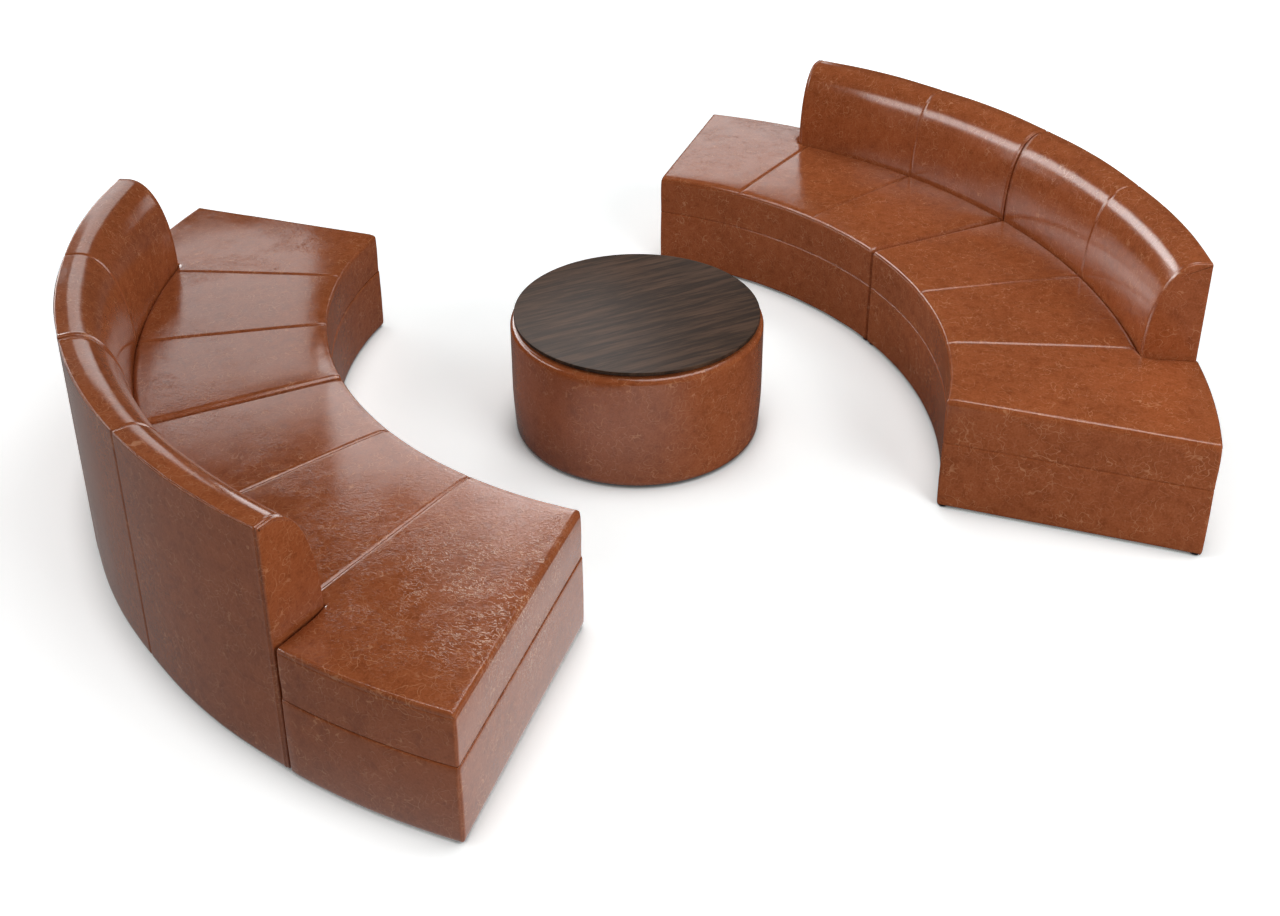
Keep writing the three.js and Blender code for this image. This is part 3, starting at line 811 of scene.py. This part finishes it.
def make_piece(name, bm, slot, *replaced, fill=None, thickness=None):
    """Turns a bmesh into a finished piece that rides on the set's one body and stands for its solids."""
    bmesh.ops.recalc_face_normals(bm, faces=bm.faces)
    mesh = bpy.data.meshes.new(name)
    bm.to_mesh(mesh)
    bm.free()
    mesh.shade_smooth()
    mesh.materials.append(MATERIALS[slot])
    piece = bpy.data.objects.new(name, mesh)
    bpy.context.scene.collection.objects.link(piece)
    if thickness:
        wall = piece.modifiers.new("wall", "SOLIDIFY")
        wall.thickness = thickness
        wall.offset = -1
    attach(piece, "root")
    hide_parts(*replaced)
    return piece


def settled(bm, matrix):
    """A copy of a module's mesh at its place in the set, with the slight unevenness of stuffed leather."""
    copy = bm.copy()
    copy.transform(matrix)
    for vert in copy.verts:
        vert.co.z += sum(noise.noise(vert.co * scale) * height for scale, height in SWELLS)
    return copy


def dress_modules():
    shapes = {"seat": seat_mesh(), "base": base_mesh(), "back": back_mesh()}
    to_arc = Matrix.Translation((-ARC_SHIFT, 0, 0))
    mirror = Matrix.Diagonal((1, -1, 1, 1))
    for sofa, turn in (("b", Matrix.Identity(4)), ("a", Matrix.Rotation(math.pi, 4, "Z"))):
        for hand, side in (("right", Matrix.Identity(4)), ("left", mirror)):
            name = f"{sofa}_{hand}"
            place = turn @ to_arc @ side
            seat = settled(shapes["seat"], place)
            make_piece(f"{name}_seat", seat, "leather", f"{name}_seat_cover", f"{name}_seat_foam", fill=FILL)
            base = settled(shapes["base"], place)
            make_piece(f"{name}_base", base, "leather", f"{name}_base_cover", thickness=LEATHER_THICKNESS)
            back = settled(shapes["back"], place)
            make_piece(f"{name}_back", back, "leather", f"{name}_back_cover", fill=FILL)
    for bm in shapes.values():
        bm.free()


def dress_ottoman():
    make_piece("ottoman_leather", ottoman_cover_mesh(), "leather", "ottoman_cover", fill=FILL)
    make_piece("ottoman_table", wooden_top_mesh(), "dark_wood", "ottoman_top")


def finish_kept_nodes():
    slots = {row["node"]: row["material_slot"] for row in frame["record"]["subparts"]}
    for name, node in frame["nodes"].items():
        node.data.materials.clear()
        node.data.materials.append(MATERIALS[slots[name]])


# Stage
CAMERA_PLACE = (-2.090, -4.310, 3.067)
HEADING, PITCH, ROLL = math.radians(26.15), math.radians(23.82), math.radians(-0.15)
SENSOR_WIDTH, LENS = 36, 39.34
LENS_SHIFT = (0.0037, -0.21)

# The floor glows for the camera, least round its middle, so that it is white yet keeps the shadows
FLOOR_SIZE = 60
FLOOR_MIDDLE = (1.1, 0, 0)
FLOOR_GLOW, GLOW_NEAR, GLOW_FAR = 0.30, 0.7, 7.4

# Its tones: as seen, as painted contact shadow where something nearly touches it, as it lights the set and as
# reflected
SEEN_TONE, CONTACT_SHADOW_TONE = (0.96, 1.0, 1.0), (0.06, 0.06, 0.06)
LIT_TONE, MIRRORED_TONE = (0.60, 0.60, 0.60), (0.12, 0.12, 0.12)
CONTACT_SHADOW_REACH = 0.10

# Patches of the floor that are bright in reflections: middle, radius of full brightness, radius, level
FLOOR_PATCHES = (
    ((-0.75, -1.25, 0), 0.45, 1.15, 0.85),
    ((-3.0, -0.5, 0), 1.5, 3.5, 0.20),
)

# The strip of light in the world. Bearings are in degrees, 0 over +Y and 90 over +X, and elevations in degrees
ROOM_LEVEL = 0.03
STRIP_FROM, STRIP_TO, STRIP_LEVEL = -80, 2, 6.8
STRIP_MIDDLE_FROM, STRIP_MIDDLE_TO, STRIP_HALF_HEIGHT = 28, 14, 5.5

# Softboxes that only light the set: name, place, size, level. They aim at its middle.
SOFTBOXES = (
    ("back_softbox", (2.6, 4.7, 5.2), (3.0, 2.4), 4.0),
    ("front_softbox", (1.4, -5.8, 3.0), (3.0, 3.0), 6.5),
    ("right_softbox", (5.0, -2.5, 4.2), (3.0, 3.0), 3.0),
    ("top_softbox", (0.1, 0.0, 5.0), (3.4, 3.4), 1.8),
    ("left_softbox", (-4.5, -3.5, 3.5), (3.0, 3.0), 1.2),
)

# Panels that only show in reflections: name, place, size, level, aim. The windows stand over the near left
# seats and overlap, so that together they fade toward their edges.
PANELS = (
    ("ceiling", (1.3, -1.3, 5.0), (4.0, 4.0), 5.0, (1.3, -1.3, 0)),
    ("left_wall", (-1.15, 3.0, 1.85), (1.2, 1.4), 1.8, (-1.15, 0, 1.85)),
    ("right_wall", (2.2, 3.0, 1.3), (1.4, 0.9), 1.8, (2.2, 0, 1.3)),
    ("window_0", (-0.325, 0.90, 1.240), (1.35, 0.78), 3.0, (-0.325, 0, 1.240)),
    ("window_1", (-0.135, 0.90, 1.500), (0.97, 1.00), 2.2, (-0.135, 0, 1.500)),
    ("window_2", (0.125, 0.90, 1.690), (0.85, 0.98), 8.0, (0.125, 0, 1.690)),
    ("window_3", (-0.100, 0.90, 2.170), (0.90, 0.55), 0.8, (-0.100, 0, 2.170)),
)


def make_camera():
    """The photograph's camera, but for a smaller vertical shift, so that other views hold the whole set."""
    data = bpy.data.cameras.new("camera")
    data.sensor_width = SENSOR_WIDTH
    data.lens = LENS
    data.shift_x, data.shift_y = LENS_SHIFT
    camera = bpy.data.objects.new("camera", data)
    level = math.cos(PITCH)
    forward = Vector((math.sin(HEADING) * level, math.cos(HEADING) * level, -math.sin(PITCH)))
    camera.rotation_mode = "QUATERNION"
    camera.rotation_quaternion = forward.to_track_quat("-Z", "Y") @ Matrix.Rotation(ROLL, 4, "Z").to_quaternion()
    camera.location = CAMERA_PLACE
    bpy.context.scene.collection.objects.link(camera)
    bpy.context.scene.camera = camera


def softbox(name, place, size, level, aim=(0, 0, 0), lights=True, shows=False):
    """An area light, aimed at a point. Its level is its brightness, where 1 is white.

    Some softboxes only light the set and some only show in its reflections.
    """
    data = bpy.data.lights.new(name, "AREA")
    data.shape = "RECTANGLE"
    data.size, data.size_y = size
    data.energy = level * size[0] * size[1] * math.pi
    light = bpy.data.objects.new(name, data)
    light.location = place
    light.rotation_mode = "QUATERNION"
    light.rotation_quaternion = (Vector(aim) - Vector(place)).to_track_quat("-Z", "Y")
    light.visible_diffuse = lights
    light.visible_glossy = shows
    bpy.context.scene.collection.objects.link(light)


def make_floor():
    """A white floor that keeps the set's shadows, with a painted shadow where something nearly touches it."""
    bm = bmesh.new()
    bmesh.ops.create_grid(bm, x_segments=1, y_segments=1, size=FLOOR_SIZE)
    mesh = bpy.data.meshes.new("floor")
    bm.to_mesh(mesh)
    bm.free()
    s = Shader(bpy.data.materials.new("floor"))
    rays = s.node("ShaderNodeLightPath")
    camera, glossy = rays[0], rays[3]
    where = s.node("ShaderNodeTexCoord")[3]
    white = FLOOR_GLOW + s.distance(where, FLOOR_MIDDLE).between(GLOW_NEAR, GLOW_FAR) * (1 - FLOOR_GLOW)
    sheen = 0
    for middle, near, far, level in FLOOR_PATCHES:
        sheen += (1 - s.distance(where, middle).between(near, far)) * level
    # Ambient occlusion paints a contact shadow into the floor's glow and its tone for the camera
    open_sky = s.node("ShaderNodeAmbientOcclusion", {"samples": 8}, {"Distance": CONTACT_SHADOW_REACH})[1]
    glow = camera * white * open_sky + glossy * sheen
    seen = s.mix(open_sky.between(0.10, 0.70), CONTACT_SHADOW_TONE, SEEN_TONE)
    tone = s.mix(glossy, s.mix(camera, LIT_TONE, seen), MIRRORED_TONE)
    s.finish(Base_Color=tone, Roughness=1.0, Specular_IOR_Level=0.0)
    s.finish(Emission_Color=(1.0, 1.0, 1.0), Emission_Strength=glow)
    mesh.materials.append(s.owner)
    floor = bpy.data.objects.new("floor", mesh)
    bpy.context.scene.collection.objects.link(floor)


def make_world():
    """White to the camera. The set sees a dim studio with a bright slanting strip on the left."""
    world = bpy.data.worlds.new("world")
    bpy.context.scene.world = world
    s = Shader(world, "Background")
    direction = s.node("ShaderNodeTexCoord")[0]
    x, y, z = s.node("ShaderNodeSeparateXYZ", {}, (direction,))
    bearing = x.math("ARCTAN2", x, y) * math.degrees(1)
    elevation = z.math("ARCSINE", z) * math.degrees(1)
    along = bearing * (1 / (STRIP_TO - STRIP_FROM)) - STRIP_FROM / (STRIP_TO - STRIP_FROM)
    above = elevation - along * (STRIP_MIDDLE_TO - STRIP_MIDDLE_FROM) - STRIP_MIDDLE_FROM
    off_middle = above.math("ABSOLUTE", above)
    strip = s.patch(bearing, STRIP_FROM, STRIP_TO) * s.patch(off_middle, -90, STRIP_HALF_HEIGHT)
    room = ROOM_LEVEL + strip * (STRIP_LEVEL - ROOM_LEVEL)
    camera = s.node("ShaderNodeLightPath")[0]
    s.finish(Color=(1, 1, 1), Strength=room + camera * (1 - room))


make_camera()
make_floor()
make_world()
for lamp in SOFTBOXES:
    softbox(*lamp)
for panel in PANELS:
    softbox(*panel, lights=False, shows=True)
dress_modules()
dress_ottoman()
finish_kept_nodes()
bpy.context.scene.view_settings.view_transform = "Standard"
